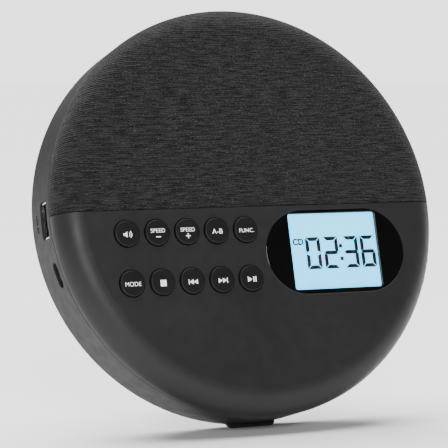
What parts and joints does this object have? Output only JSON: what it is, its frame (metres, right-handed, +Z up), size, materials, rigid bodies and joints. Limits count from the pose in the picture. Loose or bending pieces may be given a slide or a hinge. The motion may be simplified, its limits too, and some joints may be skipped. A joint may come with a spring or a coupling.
{
  "type": "portable cd player",
  "caption": "Round leaning portable disc player with cloth speaker front, push keys, lit display, rear disc lid and fold-out stand.",
  "frame": {"origin": "middle of the rim foot's contact face, on the table under the leaning cabinet", "axes": "+Z up, +X to the right across the front, -Y towards the listener"},
  "size_m": [0.1567, 0.0708, 0.1551],
  "materials": {
    "case_plastic": "fine matte moulded",
    "key_plastic": "satin",
    "speaker_cloth": "woven melange",
    "display_glass": "clear gloss over a black border",
    "lcd": "lit blue display",
    "backlight": "white diffuser",
    "board": "printed circuit board",
    "bare_steel": "plain steel",
    "black_plastic": "moulded",
    "rubber": "soft matte",
    "gear_plastic": "acetal",
    "cone_paper": "pressed paper",
    "magnet": "zinc-plated ferrite",
    "battery_wrap": "shrink film",
    "lens_glass": "coated lens"
  },
  "bodies": {
    "cabinet": {"audio_jack": "black_plastic", "battery": "battery_wrap", "board_screws": "bare_steel", "case_screws": "bare_steel", "chassis_dampers": "rubber", "chassis_screws": "bare_steel", "disc_deck": "black_plastic", "display_lens": "display_glass", "drive_chassis": "bare_steel", "feed_motor": "bare_steel", "front_shell": "case_plastic", "guide_rods": "bare_steel", "key_switches": "black_plastic", "lcd_backlight": "backlight", "lcd_panel": "lcd", "lid_hinge_pin": "bare_steel", "main_board": "board", "rear_housing": "case_plastic", "rim_foot": "rubber", "side_switches": "black_plastic", "speaker_cone_left": "cone_paper", "speaker_cone_right": "cone_paper", "speaker_fabric": "speaker_cloth", "speaker_frame_left": "bare_steel", "speaker_frame_right": "bare_steel", "speaker_magnet_left": "magnet", "speaker_magnet_right": "magnet", "spindle_motor": "bare_steel", "usb_a_socket": "bare_steel", "usb_c_socket": "bare_steel"},
    "wireless_key": {"key_wireless": "key_plastic"},
    "speed_down_key": {"key_speed_down": "key_plastic"},
    "speed_up_key": {"key_speed_up": "key_plastic"},
    "repeat_key": {"key_repeat": "key_plastic"},
    "function_key": {"key_function": "key_plastic"},
    "mode_key": {"key_mode": "key_plastic"},
    "stop_key": {"key_stop": "key_plastic"},
    "previous_key": {"key_previous": "key_plastic"},
    "next_key": {"key_next": "key_plastic"},
    "play_key": {"key_play": "key_plastic"},
    "rocker": {"volume_rocker": "case_plastic"},
    "power": {"power_knob": "case_plastic"},
    "lid": {"disc_lid": "case_plastic", "stand_pins": "bare_steel"},
    "latch": {"lid_latch": "case_plastic"},
    "stand": {"kickstand": "case_plastic", "stand_pad": "rubber"},
    "turntable": {"turntable_hub": "black_plastic", "hub_balls": "bare_steel"},
    "sled": {"pickup_sled": "black_plastic", "pickup_lens": "lens_glass"},
    "gear": {"feed_gear": "gear_plastic"},
    "pinion": {"feed_pinion": "gear_plastic"}
  },
  "joints": [
    {"name": "wireless_key_press", "type": "slide", "parent": "cabinet", "child": "wireless_key", "axis": [0, 0.9632, -0.2689], "range_m": [0, 0.0006], "stiffness_N_per_m": 900, "springref_m": -0.0003},
    {"name": "speed_down_key_press", "type": "slide", "parent": "cabinet", "child": "speed_down_key", "axis": [0, 0.9632, -0.2689], "range_m": [0, 0.0006], "stiffness_N_per_m": 900, "springref_m": -0.0003},
    {"name": "speed_up_key_press", "type": "slide", "parent": "cabinet", "child": "speed_up_key", "axis": [0, 0.9632, -0.2689], "range_m": [0, 0.0006], "stiffness_N_per_m": 900, "springref_m": -0.0003},
    {"name": "repeat_key_press", "type": "slide", "parent": "cabinet", "child": "repeat_key", "axis": [0, 0.9632, -0.2689], "range_m": [0, 0.0006], "stiffness_N_per_m": 900, "springref_m": -0.0003},
    {"name": "function_key_press", "type": "slide", "parent": "cabinet", "child": "function_key", "axis": [0, 0.9632, -0.2689], "range_m": [0, 0.0006], "stiffness_N_per_m": 900, "springref_m": -0.0003},
    {"name": "mode_key_press", "type": "slide", "parent": "cabinet", "child": "mode_key", "axis": [0, 0.9632, -0.2689], "range_m": [0, 0.0006], "stiffness_N_per_m": 900, "springref_m": -0.0003},
    {"name": "stop_key_press", "type": "slide", "parent": "cabinet", "child": "stop_key", "axis": [0, 0.9632, -0.2689], "range_m": [0, 0.0006], "stiffness_N_per_m": 900, "springref_m": -0.0003},
    {"name": "previous_key_press", "type": "slide", "parent": "cabinet", "child": "previous_key", "axis": [0, 0.9632, -0.2689], "range_m": [0, 0.0006], "stiffness_N_per_m": 900, "springref_m": -0.0003},
    {"name": "next_key_press", "type": "slide", "parent": "cabinet", "child": "next_key", "axis": [0, 0.9632, -0.2689], "range_m": [0, 0.0006], "stiffness_N_per_m": 900, "springref_m": -0.0003},
    {"name": "play_key_press", "type": "slide", "parent": "cabinet", "child": "play_key", "axis": [0, 0.9632, -0.2689], "range_m": [0, 0.0006], "stiffness_N_per_m": 900, "springref_m": -0.0003},
    {"name": "volume_rock", "type": "hinge", "parent": "cabinet", "child": "rocker", "pos_m": [0.07325, 0.00494, 0.06603], "axis": [0, -0.9632, 0.2689], "range_deg": [-2, 2], "stiffness_Nm_per_rad": 0.4},
    {"name": "power_slide", "type": "slide", "parent": "cabinet", "child": "power", "axis": [-0.3584, -0.2511, -0.8992], "range_m": [0, 0.0026]},
    {"name": "lid_hinge", "type": "hinge", "parent": "cabinet", "child": "lid", "pos_m": [0, 0.04128, 0.14265], "axis": [1, 0, 0], "range_deg": [0, 95]},
    {"name": "latch_slide", "type": "slide", "parent": "lid", "child": "latch", "axis": [0, 0.2689, 0.9632], "range_m": [0, 0.0025], "stiffness_N_per_m": 250, "springref_m": -0.001},
    {"name": "stand_hinge", "type": "hinge", "parent": "lid", "child": "stand", "pos_m": [0, 0.0335, 0.11368], "axis": [1, 0, 0], "range_deg": [-22.47, 0]},
    {"name": "turntable_spin", "type": "hinge", "parent": "cabinet", "child": "turntable", "pos_m": [0, 0.01764, 0.07658], "axis": [0, -0.9632, 0.2689], "continuous": true},
    {"name": "sled_slide", "type": "slide", "parent": "cabinet", "child": "sled", "axis": [0, -0.2689, -0.9632], "range_m": [0, 0.032]},
    {"name": "feed_gear_spin", "type": "hinge", "parent": "cabinet", "child": "gear", "pos_m": [0.0252, 0.00079, 0.04598], "axis": [0, -0.9632, 0.2689], "range_deg": [0, 438]},
    {"name": "feed_pinion_spin", "type": "hinge", "parent": "cabinet", "child": "pinion", "pos_m": [0.039, -0.00017, 0.04625], "axis": [0, -0.9632, 0.2689], "range_deg": [-1575, 0]}
  ],
  "couplings": [
    {"joint": "feed_gear_spin", "follows": "sled_slide", "rad_per_m": 238.1},
    {"joint": "feed_pinion_spin", "follows": "sled_slide", "rad_per_m": -857.14}
  ]
}
